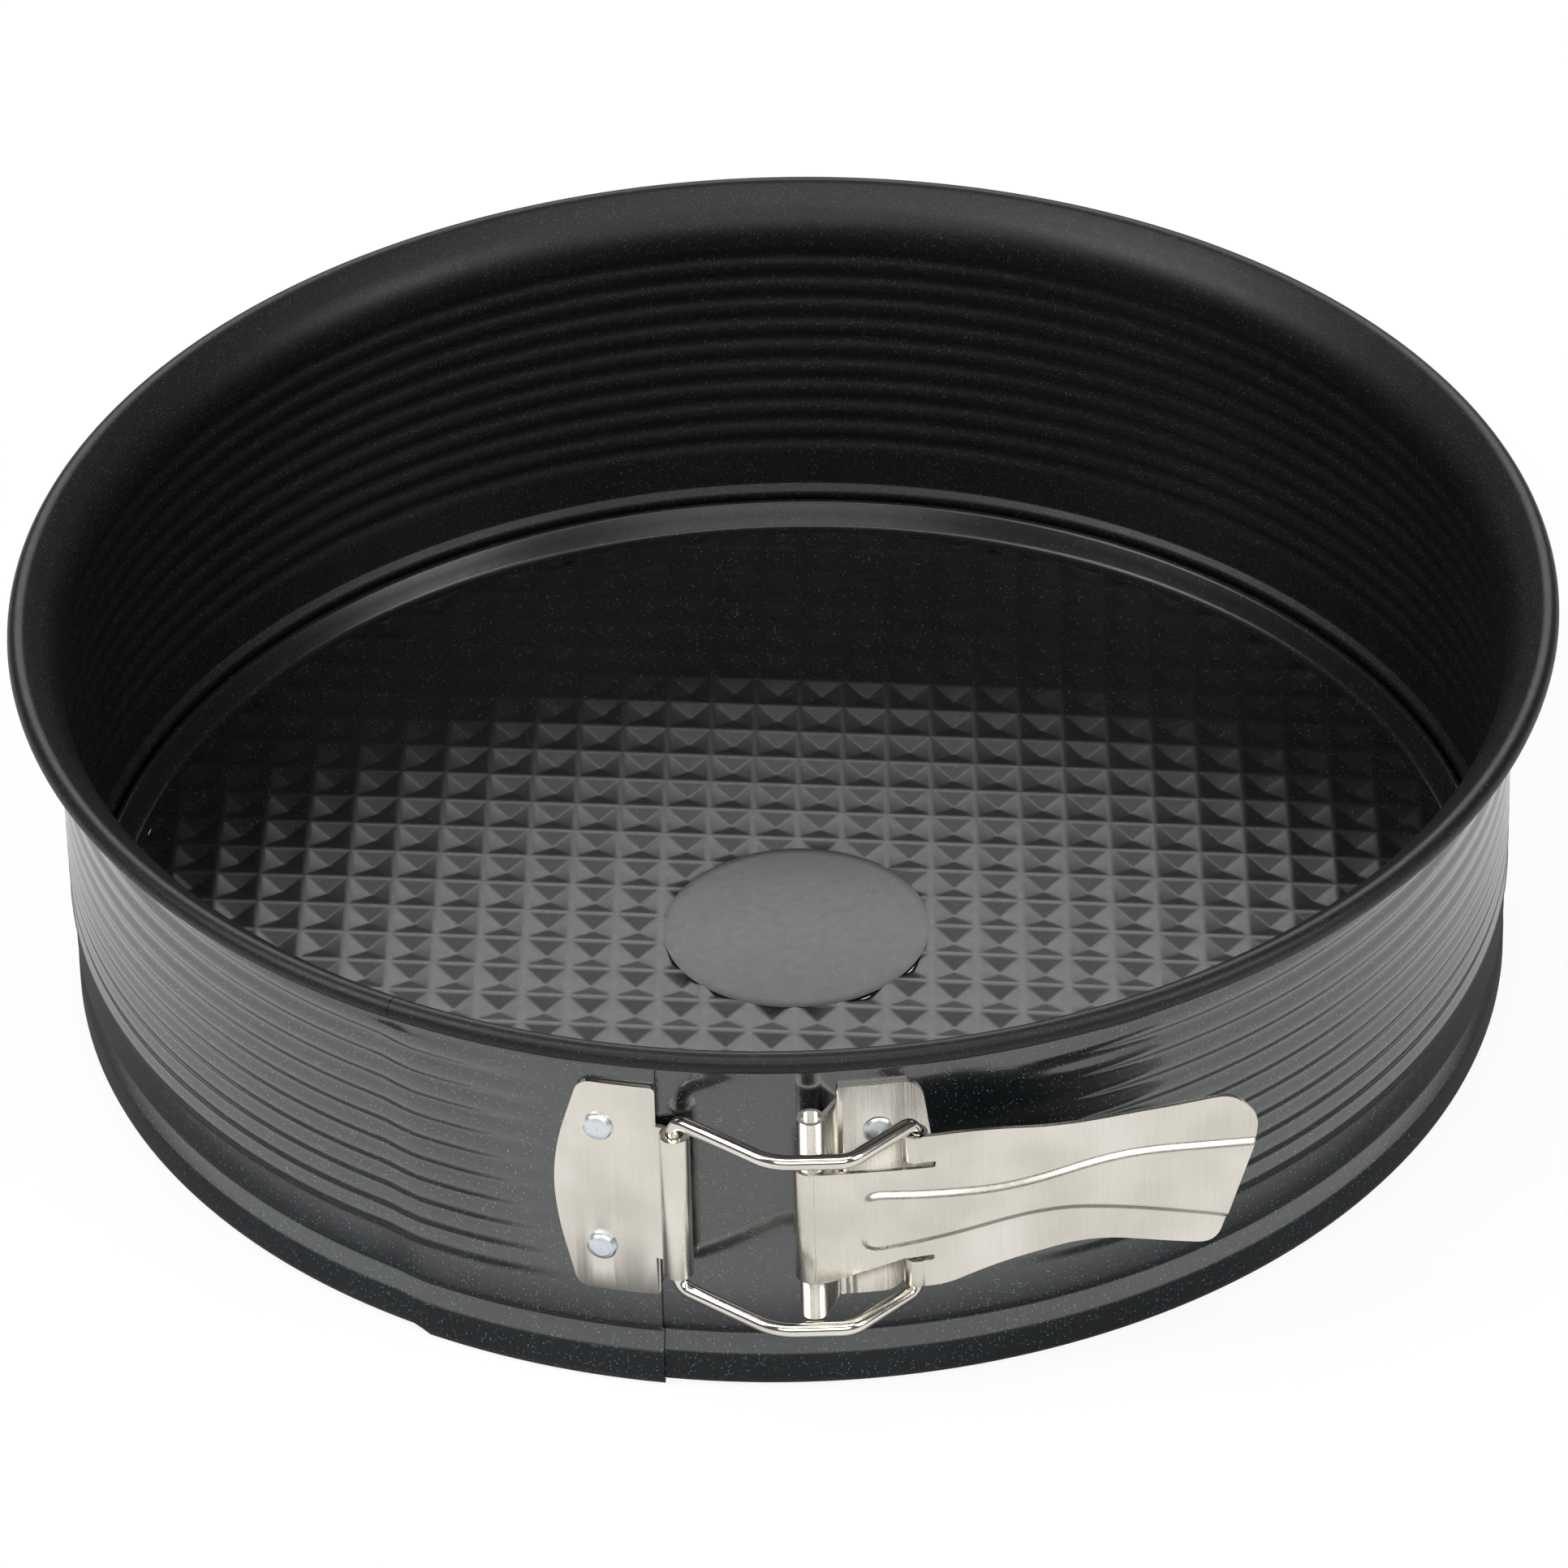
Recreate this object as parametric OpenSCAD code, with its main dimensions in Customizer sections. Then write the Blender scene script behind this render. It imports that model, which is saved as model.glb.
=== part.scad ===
// Springform cake pan: a split side ring of thin coated steel that grips a loose base plate,
// closed by an over-centre latch (keeper plate, wire bail, lever and bracket) at the front.
// The origin is on the pan's axis at the level that the ring stands on. The latch is at -Y.
// Angles round the pan are counted from the front (-Y), positive towards +X.

/* [Pan] */
// Inside diameter of the side ring's wall
pan_inner_d = 228.6; // [180:0.1:300]
// Height from the standing face to the top of the rim
pan_height = 69; // [55:1:100]
// Thickness of the ring's sheet
ring_sheet = 0.6; // [0.4:0.1:1]
// Thickness of the base plate's sheet
base_sheet = 0.6; // [0.4:0.1:1]

/* [Ring profile] */
// Radius of the curl that the ring stands on, at mid sheet
foot_curl_r = 2.3; // [1.5:0.1:3]
// Straight skirt between the foot curl and the groove
skirt_height = 4; // [2:0.5:8]
// How far the groove stands in from the wall
groove_depth = 1.1; // [0.6:0.1:2]
// Height at which the corrugations start
ribs_start = 18.5; // [16:0.5:30]
// Number of corrugations
ribs_count = 10; // [4:1:14]
// Depth of a corrugation
rib_depth = 0.5; // [0.2:0.1:1]
// Bend radius from the wall into the flare
flare_bend_r = 8; // [5:1:12]
// How far the flare leans out from the vertical, in degrees
flare_angle = 50; // [35:5:65]
// Straight part of the flare
flare_length = 3.2; // [1:0.2:6]
// Radius of the rolled rim, at mid sheet
rim_roll_r = 1.4; // [1:0.1:2]

/* [Ring ends] */
// Angle of the outer layer's free end
outer_end = -10.5; // [-14:0.5:-8]
// Angle of the hidden inner tongue's free end
tongue_end = -29.3; // [-36:0.1:-24]
// Gap between the two layers
lap_gap = 0.25; // [0.15:0.05:0.5]
// Angle of the smooth stretch's end right of the latch
smooth_end = 18; // [14:1:30]

/* [Base plate] */
// Height of the base plate's raised edge above its floor
edge_height = 3.85; // [2:0.05:6]
// Slope of the raised edge, in degrees from the floor
edge_slope = 62; // [45:1:80]
// Gap between the base plate's edge and the groove's nose
base_gap = 0.3; // [0.2:0.1:1]
// Gap between the base plate and the foot curl that carries it
seat_gap = 0.2; // [0.1:0.1:0.5]

/* [Latch] */
// Height of the latch's middle line
latch_z = 38.6; // [34:0.1:50]
// Thickness of the latch's plates
latch_sheet = 0.8; // [0.6:0.1:1.2]
// Height of the keeper plate and of the bracket plate
plate_height = 39.4; // [34:0.2:44]
// Thickness of the lever's sheet
lever_sheet = 0.65; // [0.5:0.05:0.9]
// Diameter of the bail's wire
wire_d = 2.4; // [2:0.1:2.8]
// Distance between the bail's two arms
bail_span = 31.8; // [31:0.2:36]
// How far the bail's arms bow out past the keeper barrel
bail_bow = 11.3; // [9:0.1:14]
// Where the keeper barrel's axis lies to the left of the middle
keeper_x = 18.3; // [16:0.1:20]
// Where the pivot's axis lies to the right of the middle
pivot_x = 2.2; // [1:0.1:4]
// Distance from the pivot's axis to the axis of the lever's ears
ear_reach = 15.5; // [14:0.1:18]
// Distance of the pivot's axis from the ring's outer face
pivot_stand = 4.6; // [4:0.1:6]
// Distance of the keeper barrel's axis from the ring's outer face
keeper_stand = 3.9; // [3.9:0.1:5]
// Outer radius of the bracket's pivot tube
pivot_tube_r = 2.1; // [1.8:0.1:2.4]
// Running gap between the pivot tube and the lever's curl
pivot_gap = 0.1; // [0.05:0.01:0.15]
// Half height of the lever at its ears
lever_half = 14.2; // [12:0.1:14.2]

/* [Rivets] */
// Diameter of a rivet's head
rivet_head_d = 4.6; // [4:0.1:6]
// Height of a rivet's head
rivet_head_h = 0.9; // [0.6:0.1:1.5]
// Diameter of a rivet's shank
rivet_d = 3; // [2:0.1:3.6]
// Distance between the two rivets of a plate
rivet_pitch = 22.8; // [16:0.2:26]
// Angle of the keeper plate's rivets
keeper_rivet_angle = -14.8; // [-16:0.1:-13.5]
// Angle of the bracket plate's rivets
bracket_rivet_angle = 6.1; // [5.5:0.1:7]

/* [Hidden] */
$fn = 96;

coating = [0.16, 0.17, 0.18];
nickel = [0.82, 0.80, 0.75];
rivet_metal = [0.86, 0.88, 0.90];

arc_step = 20;                  // largest turn of one step of a bent sheet, in degrees
small_gap = 0.05;               // clearance of a rivet's shank in its hole
plate_gap = 0.02;               // clearance of a riveted plate on the ring
wall_r = pan_inner_d / 2 + ring_sheet / 2;
ring_outer_r = pan_inner_d / 2 + ring_sheet;
foot_z = (foot_curl_r + ring_sheet / 2) * cos(arc_step / 2);
hinge_angle = 180 + outer_end - 1.5;   // where the two bands meet at the back

// ---- bent sheet: a path of [move, turn] steps, then its outline ----

// Steps of an arc of radius r that turns by a degrees, in steps of no more than m degrees
function bend(r, a, m = arc_step) =
    let (n = ceil(abs(a) / m), d = a / n)
    [for (i = [1:n]) [2 * r * sin(abs(d) / 2), d]];

// Steps of a sideways shift by d, leaning by a degrees with bends of radius r
function jog(d, a, r) =
    concat(bend(r, a), [[(d - 2 * r * (1 - cos(a))) / sin(abs(a)), 0]], bend(r, -a));

// Points and headings along a path that starts at p with heading h
function walk(steps, p, h) =
    [for (i = 0, q = p, g = h; i <= len(steps);
          q = i < len(steps) ? q + steps[i][0] * dir(g + steps[i][1] / 2) : q,
          g = i < len(steps) ? g + steps[i][1] : g,
          i = i + 1)
        [q, g]];

function dir(a) = [cos(a), sin(a)];
function side(q, d) = q[0] + d * [-sin(q[1]), cos(q[1])];

// Outline of a sheet of thickness t along walked points
function sheet_outline(path, t) =
    concat([for (q = path) side(q, t / 2)],
           [for (i = [len(path) - 1:-1:0]) side(path[i], -t / 2)]);

// An outline given as [x, y, setback], with each corner rounded by up to its setback
function rounded(p, n = 4) =
    [for (i = [0:len(p) - 1])
        let (b = flat(p[i]), a = flat(p[(i + len(p) - 1) % len(p)]) - b,
             c = flat(p[(i + 1) % len(p)]) - b,
             s = min(p[i][2], 0.47 * norm(a), 0.47 * norm(c)),
             u = s * a / norm(a), v = s * c / norm(c))
        each s == 0 ? [b]
           : [for (k = [0:n]) let (t = k / n) b + (1 - t) * (1 - t) * u + t * t * v]];
function flat(q) = [q[0], q[1]];
function last(v) = v[len(v) - 1];
function highest(v) = max([for (q = v) q[1]]);
function farthest(v) = max([for (q = v) q[0]]);

// ---- side ring ----

foot_steps = concat(bend(foot_curl_r, 280), [[skirt_height, 0]],
                    jog(groove_depth, 20, 2), jog(groove_depth, -45, 0.8));
foot_path = walk(foot_steps, [wall_r - foot_curl_r, foot_z] + foot_curl_r * dir(80), 170);
wall_start = last(foot_path)[0][1];
flare_steps = concat(bend(flare_bend_r, -flare_angle), [[flare_length, 0]],
                     bend(rim_roll_r, -240));
flare_rise = highest(sheet_outline(walk(flare_steps, [wall_r, 0], 90), ring_sheet));
wall_end = pan_height - flare_rise;
flare_path = walk(flare_steps, [wall_r, wall_end], 90);
rim_r = farthest(sheet_outline(flare_path, ring_sheet));
rib_pitch = (wall_end - 0.4 - ribs_start) / ribs_count;

rib_points = 6;                 // points along one corrugation
rib_path = [for (i = [0:ribs_count * rib_points])
    let (a = 360 * i / rib_points)
    [[wall_r + rib_depth * (1 - cos(a)) / 2, ribs_start + rib_pitch * i / rib_points], 90]];

// Section of the ring from the foot curl to the rim. The plain stretch is a touch thicker,
// so its surfaces stay clear of those of the ribbed stretch that it runs into.
module ring_section(ribbed)
    polygon(sheet_outline(concat(foot_path, ribbed ? rib_path : [], flare_path),
                          ring_sheet + (ribbed ? 0 : 0.02)));

// Turns a section from angle a to angle b round the pan
module turned(a, b)
    rotate([0, 0, a - 90]) rotate_extrude(angle = b - a) children();

// A part of the wall's shell between two radii, two angles and two heights
module shell(r1, r2, a, b, z1, z2)
    turned(a, b) translate([r1, z1]) square([r2 - r1, z2 - z1]);

lap_r = ring_outer_r + lap_gap;
lap_outer_r = lap_r + ring_sheet;
lap_top = wall_end - 0.2;
lap_bottom = 0.3;
joggle = 0.6;                   // angle that the step between the layers takes
lap_start = tongue_end - 0.5;   // the outer layer starts just past the end of the tongue

module ring_right_band() {
    color(coating) difference() {
        union() {
            turned(tongue_end, smooth_end + 0.2) ring_section(false);
            turned(smooth_end, hinge_angle) ring_section(true);
        }
        rivet_holes(bracket_rivet_angle);
    }
}

module ring_left_band() {
    color(coating) difference() {
        union() {
            turned(hinge_angle - 360, lap_start) ring_section(true);
            shell(wall_r + 0.05, lap_outer_r - 0.04, lap_start - joggle, lap_start - 0.05,
                  wall_start + 1, lap_top - 0.2);
            shell(wall_r + 0.05, lap_outer_r - 0.04, lap_start - joggle, lap_start - 0.05,
                  foot_z, foot_z + skirt_height);
            shell(lap_r, lap_outer_r, lap_start - 0.4 * joggle, outer_end, lap_bottom, lap_top);
        }
        rivet_holes(keeper_rivet_angle);
    }
}

// ---- base plate ----

floor_z = foot_z + foot_curl_r + ring_sheet / 2 + seat_gap + base_sheet / 2;
base_r = pan_inner_d / 2 - groove_depth - base_gap;
edge_bend_r = 1.5;
hem_r = 0.5;
hem_drop = 1.2;
edge_straight = (edge_height - edge_bend_r * (1 - cos(edge_slope))
                 + hem_r * cos(edge_slope) - hem_r) / sin(edge_slope);
edge_steps = concat(bend(edge_bend_r, edge_slope), [[edge_straight, 0]],
                    bend(hem_r, -90 - edge_slope), [[hem_drop, 0]]);
edge_reach = farthest(sheet_outline(walk(edge_steps, [0, 0], 0), base_sheet));
base_path = walk(edge_steps, [base_r - edge_reach, floor_z], 0);

module base_plate() {
    color(coating) rotate_extrude()
        polygon(sheet_outline(concat([[[0, floor_z], 0]], base_path), base_sheet));
}

// ---- rivets ----

// Puts children at angle a round the pan, with +X pointing outward along the radius
module at_angle(a, z) translate([0, 0, z]) rotate([0, 0, a - 90]) children();

module rivet_holes(a)
    for (s = [-1, 1])
        at_angle(a, latch_z + s * rivet_pitch / 2)
            translate([ring_outer_r - 6, 0, 0]) rotate([0, 90, 0])
                cylinder(d = rivet_d + 2 * small_gap, h = 12);

// A rivet whose head sits on radius seat_r and whose shank ends at radius tail_r
module rivet(a, s, seat_r, tail_r, tail_d) {
    h = rivet_head_h;
    d = rivet_head_d / 2;
    l = seat_r + h - tail_r;
    color(rivet_metal) at_angle(a, latch_z + s * rivet_pitch / 2)
        translate([seat_r + h, 0, 0]) rotate([0, -90, 0]) rotate_extrude()
            polygon([[0, 0], [0.6 * d, 0.07 * h], [0.85 * d, 0.25 * h], [d, 0.6 * h], [d, h],
                     [rivet_d / 2, h], [rivet_d / 2, l - tail_h], [tail_d / 2, l - tail_h],
                     [tail_d / 2, l - tail_h / 2], [tail_d / 2 - 0.3, l], [0, l]]);
}

tail_h = 0.5;
keeper_seat_r = lap_outer_r + plate_gap + latch_sheet;
bracket_seat_r = ring_outer_r + plate_gap + latch_sheet;
flush_tail_r = lap_r;
button_tail_r = ring_outer_r - ring_sheet - tail_h - 0.04;

module keeper_rivet_upper()
    rivet(keeper_rivet_angle, 1, keeper_seat_r, flush_tail_r, rivet_d - 0.01);
module keeper_rivet_lower()
    rivet(keeper_rivet_angle, -1, keeper_seat_r, flush_tail_r, rivet_d - 0.01);
module bracket_rivet_upper()
    rivet(bracket_rivet_angle, 1, bracket_seat_r, button_tail_r, rivet_head_d - 0.6);
module bracket_rivet_lower()
    rivet(bracket_rivet_angle, -1, bracket_seat_r, button_tail_r, rivet_head_d - 0.6);

// ---- latch: axes seen from above ----

// A point at x on the circle that stands d outside the ring
function on_ring(x, d) = [x, -sqrt(pow(ring_outer_r + d, 2) - x * x)];

keeper_axis = on_ring(-keeper_x, keeper_stand);
pivot_axis = on_ring(pivot_x, pivot_stand);
ear_axis = pivot_axis + [ear_reach, 0];
barrel_r = 2.35;                // outer radius of the keeper plate's barrel
barrel_bore_r = wire_d / 2 + 0.1;
barrel_half = 13.1;
tube_bore_r = pivot_tube_r - 0.6;
curl_bore_r = pivot_tube_r + pivot_gap;
curl_r = curl_bore_r + lever_sheet;
ear_bore_r = wire_d / 2 + 0.1;
ear_r = ear_bore_r + lever_sheet;

// A tube of the given radii about a vertical axis
module tube(axis, r, bore, z1, z2)
    translate([axis[0], axis[1], z1]) difference() {
        cylinder(r = r, h = z2 - z1);
        translate([0, 0, -1]) cylinder(r = bore, h = z2 - z1 + 2);
    }

// A plate bent round the ring: the elevation outline cut from a shell
module ring_plate(r, outline)
    intersection() {
        shell(r, r + latch_sheet, -28, 28, 0, pan_height);
        translate([0, 0, latch_z]) rotate([90, 0, 0])
            linear_extrude(height = r + 20) polygon(outline);
    }

half = plate_height / 2;

module keeper_plate() {
    edge = on_ring(-keeper_x - 2.8, lap_gap + ring_sheet + plate_gap + latch_sheet / 2);
    tab_half = 12.6;
    tab_foot = keeper_axis + [-0.4, barrel_r - latch_sheet / 2];
    n = latch_sheet / 2 * [0.36, 0.93];
    color(nickel) difference() {
        union() {
            ring_plate(lap_outer_r + plate_gap, rounded([[-keeper_x - 2.8, half, 1], [-keeper_x - 2.8, -half, 1],
                [-33.6, -half, 2], [-36.2, -8, 4], [-36.9, 0, 4], [-36, 8, 4], [-32.6, half, 2]]));
            translate([0, 0, latch_z - tab_half]) linear_extrude(height = 2 * tab_half)
                polygon([edge + n, edge - n - [0.6, -0.15], tab_foot - n, tab_foot + n]);
            tube(keeper_axis, barrel_r, barrel_bore_r, latch_z - barrel_half,
                 latch_z + barrel_half);
        }
        rivet_holes(keeper_rivet_angle);
        translate([keeper_axis[0], keeper_axis[1], 0]) cylinder(r = barrel_bore_r, h = pan_height);
    }
}

module bracket_plate() {
    edge_x = pivot_x + 4;
    foot = on_ring(edge_x, plate_gap);
    tube_side = pivot_axis + [pivot_tube_r, 0];
    color(nickel) difference() {
        union() {
            ring_plate(ring_outer_r + plate_gap, rounded([[edge_x, half, 0.6], [17.6, half, 1.5],
                [19.2, half - 2.5, 1], [20.9, 4, 5], [19.2, -half + 5.5, 2],
                [14.2, -half, 1.5], [edge_x, -half, 0.6]]));
            translate([0, 0, latch_z - half]) linear_extrude(height = 2 * half - 2.4)
                polygon([foot + [0, -latch_sheet], tube_side, tube_side - [0.7, 0.9],
                         tube_side - [0.7, -0.6], foot + [-0.2, -0.05], foot + [0.7, -0.1],
                         foot + [0.8, -latch_sheet]]);
            tube(pivot_axis, pivot_tube_r, tube_bore_r, latch_z - half, latch_z + half - 2.4);
        }
        rivet_holes(bracket_rivet_angle);
        translate([pivot_axis[0], pivot_axis[1], 0]) cylinder(r = tube_bore_r, h = pan_height);
        // room for the lever's curl round the tube
        translate([0, 0, latch_z]) translate([0, 0, curl_low - pivot_gap])
            difference() {
                translate([pivot_axis[0], pivot_axis[1], 0])
                    cylinder(r = curl_r + 0.3, h = curl_high - curl_low + 2 * pivot_gap);
                translate([pivot_axis[0], pivot_axis[1], -1])
                    cylinder(r = pivot_tube_r, h = curl_high - curl_low + 3);
            }
    }
}

// ---- lever ----

curl_high = 8.3;                // top of the lever's curl, above the latch's middle line
curl_low = -12.4;               // bottom of the curl
ear_high = 9.4;                 // lower edge of the upper ear
tip_x = 71.5;
rib_raise = 0.6;
lever_steps = concat([[12, 0]], bend(90, 12, 3), [[6, 0]], bend(100, -9, 3), [[18, 0]]);
lever_start = pivot_axis - [0, curl_r - lever_sheet / 2];
lever_path = walk(lever_steps, lever_start, 4);
lever_outline = rounded([
    [pivot_x, curl_high, 0], [20.8, curl_high, 0.4], [20.8, ear_high, 0.4],
    [ear_axis[0], ear_high, 0], [ear_axis[0], lever_half, 0], [28, lever_half, 5],
    [41, 11.6, 8], [54, 12.4, 6], [66, lever_half - 0.3, 3.6], [69.7, 9, 2], [69.2, 5, 0],
    [63.2, -lever_half, 3], [55, -12.7, 5], [44, -10.2, 8], [30, -11.6, 6],
    [22, -lever_half, 3], [ear_axis[0], -lever_half, 0], [ear_axis[0], -9.3, 0],
    [20.4, -9.3, 0.4], [20.4, -8.3, 0.4], [15.8, -8.6, 0], [4.4, -12.2, 2],
    [pivot_x, curl_low, 0]]);
rib_outline = rounded([
    [9.7, 4.2, 3], [34, 2.5, 7], [50, 5.2, 7], [68.3, 4.7, 0.1], [64.7, -8.6, 0.1],
    [52, -5.6, 6], [36, -2.3, 8], [9.7, -6.4, 3]]);

// A sheet that stands on the lever's plan curve, cut to an elevation outline
module lever_piece(plan, outline)
    intersection() {
        translate([0, 0, latch_z - 20]) linear_extrude(height = 40) polygon(plan);
        translate([0, 0, latch_z]) rotate([90, 0, 0])
            linear_extrude(height = ring_outer_r + 40) polygon(outline);
    }

module lever() {
    color(nickel) difference() {
        union() {
            lever_piece(sheet_outline(lever_path, lever_sheet), lever_outline);
            lever_piece(sheet_outline([for (q = lever_path) [side(q, -rib_raise / 2), q[1]]],
                                      lever_sheet), rib_outline);
            tube(pivot_axis, curl_r, curl_bore_r, latch_z + curl_low, latch_z + curl_high);
            tube(ear_axis, ear_r, ear_bore_r, latch_z + ear_high, latch_z + lever_half);
            tube(ear_axis, ear_r, ear_bore_r, latch_z - lever_half, latch_z - 9.3);
        }
        translate([pivot_axis[0], pivot_axis[1], 0]) cylinder(r = curl_bore_r, h = pan_height);
        for (z = [ear_high, -lever_half])
            translate([ear_axis[0], ear_axis[1], latch_z + z - 1])
                cylinder(r = ear_bore_r, h = 7);
    }
}

// ---- wire bail ----

wire_lap = 0.1;
straight_d = wire_d - 0.02;     // keeps a straight's surface clear of a bend's
corner_r = 2.4;                 // bend from the barrel's part into an arm
bow_in = 38;                    // slope of the arm from the barrel, in degrees
bow_in_r = 9;
bow_out = 43;                   // slope of the arm to the ear, in degrees
bow_out_r = 5;
bow_y = keeper_axis[1] - bail_bow;
run_in = (bail_bow - bow_in_r * (1 - cos(bow_in))) / sin(bow_in);
run_out = (ear_axis[1] - bow_y - bow_out_r * (1 - cos(bow_out))) / sin(bow_out);
bow_left = [keeper_axis[0] + run_in * cos(bow_in) + bow_in_r * sin(bow_in), bow_y];
bow_right = [ear_axis[0] - run_out * cos(bow_out) - bow_out_r * sin(bow_out), bow_y];

// A straight length of wire from point a along heading h in the arm's plane, running
// a little way into its neighbours
module straight(a, h, l)
    translate([a[0], a[1], 0]) rotate([0, 0, h]) rotate([0, 90, 0])
        translate([0, 0, -wire_lap]) cylinder(d = straight_d, h = l + 2 * wire_lap);

// A bent length of wire in the arm's plane, round centre c from angle a to angle b
module bow(c, r, a, b)
    translate([c[0], c[1], 0]) rotate([0, 0, a]) rotate_extrude(angle = b - a)
        translate([r, 0]) circle(d = wire_d);

module bail_arm() {
    straight(keeper_axis + corner_r * dir(-bow_in), -bow_in, run_in - corner_r);
    bow(bow_left + [0, bow_in_r], bow_in_r, -90 - bow_in, -90);
    straight(bow_left, 0, bow_right[0] - bow_left[0]);
    bow(bow_right + [0, bow_out_r], bow_out_r, -90, -90 + bow_out);
    straight(ear_axis - run_out * dir(bow_out), bow_out, run_out);
}

module wire_bail() {
    color(nickel) translate([0, 0, latch_z]) union() {
        translate([keeper_axis[0], keeper_axis[1], 0])
            cylinder(d = straight_d, h = bail_span - 2 * corner_r + 2 * wire_lap, center = true);
        for (s = [0, 1]) mirror([0, 0, s]) {
            translate([keeper_axis[0], keeper_axis[1], bail_span / 2 - corner_r])
                rotate([0, 0, -bow_in]) translate([corner_r, 0, 0]) rotate([90, 0, 0])
                    rotate([0, 0, 90]) rotate_extrude(angle = 90)
                        translate([corner_r, 0]) circle(d = wire_d);
            translate([0, 0, bail_span / 2]) bail_arm();
        }
    }
}

ring_right_band();
ring_left_band();
base_plate();
keeper_plate();
keeper_rivet_upper();
keeper_rivet_lower();
bracket_plate();
bracket_rivet_upper();
bracket_rivet_lower();
lever();
wire_bail();
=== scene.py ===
"""Looks of the springform pan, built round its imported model."""

import logging
import math
from dataclasses import dataclass, field
from enum import Enum
from typing import Callable, Sequence

import bpy
from mathutils import Matrix, Vector


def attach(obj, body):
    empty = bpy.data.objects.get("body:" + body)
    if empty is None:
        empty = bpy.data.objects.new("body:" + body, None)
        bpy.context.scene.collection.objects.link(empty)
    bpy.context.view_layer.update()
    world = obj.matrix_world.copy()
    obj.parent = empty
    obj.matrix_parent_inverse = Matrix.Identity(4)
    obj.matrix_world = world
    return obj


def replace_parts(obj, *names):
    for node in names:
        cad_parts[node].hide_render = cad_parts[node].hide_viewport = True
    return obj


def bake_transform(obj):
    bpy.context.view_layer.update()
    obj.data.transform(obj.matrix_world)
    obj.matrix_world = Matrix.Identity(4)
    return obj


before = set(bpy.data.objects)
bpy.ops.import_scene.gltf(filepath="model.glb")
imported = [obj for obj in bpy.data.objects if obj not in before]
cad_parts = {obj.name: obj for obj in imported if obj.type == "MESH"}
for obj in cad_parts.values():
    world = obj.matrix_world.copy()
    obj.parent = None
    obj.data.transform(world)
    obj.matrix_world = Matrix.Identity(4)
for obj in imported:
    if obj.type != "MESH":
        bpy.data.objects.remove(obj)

logging.basicConfig(level=logging.INFO, format="%(message)s")
LOG = logging.getLogger("springform")

MM = 0.001
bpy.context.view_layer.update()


class Body(Enum):
    """The rigid bodies of the pan."""

    RIGHT = "ring_right"
    LEFT = "ring_left"
    BASE = "base"
    LEVER = "latch_lever"
    BAIL = "bail"


# ---------------------------------------------------------------- small geometry


def linear(hex_code: str) -> tuple[float, float, float, float]:
    """The linear colour of an sRGB hex value.

    Args:
        hex_code: six hex digits.

    Returns:
        Red, green, blue and alpha.
    """
    parts = [int(hex_code[i : i + 2], 16) / 255 for i in (0, 2, 4)]
    return (*[c / 12.92 if c <= 0.04045 else ((c + 0.055) / 1.055) ** 2.4 for c in parts], 1.0)


def smoothstep(low: float, high: float, x: float) -> float:
    """A soft ramp from 0 at low to 1 at high."""
    t = min(max((x - low) / (high - low), 0.0), 1.0)
    return t * t * (3 - 2 * t)


def front_angle(x: float, y: float) -> float:
    """Angle round the pan from the front, positive towards +X, in degrees."""
    return math.degrees(math.atan2(x, -y))


def around(radius: float, angle: float, z: float) -> Vector:
    """The point at a radius and an angle from the front, in millimetres, as metres."""
    a = math.radians(angle)
    return Vector((radius * math.sin(a), -radius * math.cos(a), z)) * MM


class Path:
    """A line walked in a plane, as a sheet is bent: straight runs and arcs."""

    def __init__(self, start: tuple[float, float], heading: float) -> None:
        """Starts at a point with a heading in degrees."""
        self.points = [start]
        self.heading = heading

    def run(self, length: float, steps: int = 1) -> "Path":
        """Goes straight on.

        Args:
            length: how far.
            steps: how many equal points along the way.

        Returns:
            The path itself.
        """
        a = math.radians(self.heading)
        for _ in range(steps):
            x, y = self.points[-1]
            d = length / steps
            self.points.append((x + d * math.cos(a), y + d * math.sin(a)))
        return self

    def arc(self, radius: float, turn: float, step: float = 15.0) -> "Path":
        """Bends by an angle round a radius.

        Args:
            radius: bend radius at the line.
            turn: angle in degrees, positive to the left.
            step: largest turn of one chord.

        Returns:
            The path itself.
        """
        count = max(1, math.ceil(abs(turn) / step))
        part = turn / count
        chord = 2 * radius * math.sin(math.radians(abs(part)) / 2)
        for _ in range(count):
            a = math.radians(self.heading + part / 2)
            x, y = self.points[-1]
            self.points.append((x + chord * math.cos(a), y + chord * math.sin(a)))
            self.heading += part
        return self

    def jog(self, shift: float, lean: float, radius: float) -> "Path":
        """Shifts sideways by two equal bends.

        Args:
            shift: the sideways distance.
            lean: angle between the bends in degrees, positive to the left.
            radius: radius of both bends.

        Returns:
            The path itself.
        """
        a = math.radians(abs(lean))
        self.arc(radius, lean)
        self.run((shift - 2 * radius * (1 - math.cos(a))) / math.sin(a))
        return self.arc(radius, -lean)


def rounded(corners: Sequence[tuple[float, float, float]], steps: int = 6) -> list[Vector]:
    """An outline with rounded corners.

    Args:
        corners: each corner as x, y and setback.
        steps: points along one rounded corner, less one.

    Returns:
        The outline's points.
    """
    points: list[Vector] = []
    for i, (x, y, setback) in enumerate(corners):
        b = Vector((x, y))
        a = Vector(corners[i - 1][:2]) - b
        c = Vector(corners[(i + 1) % len(corners)][:2]) - b
        s = min(setback, 0.47 * a.length, 0.47 * c.length)
        if s == 0:
            points.append(b)
            continue
        for k in range(steps + 1):
            t = k / steps
            points.append(b + a.normalized() * s * (1 - t) ** 2 + c.normalized() * s * t * t)
    return points


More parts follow.
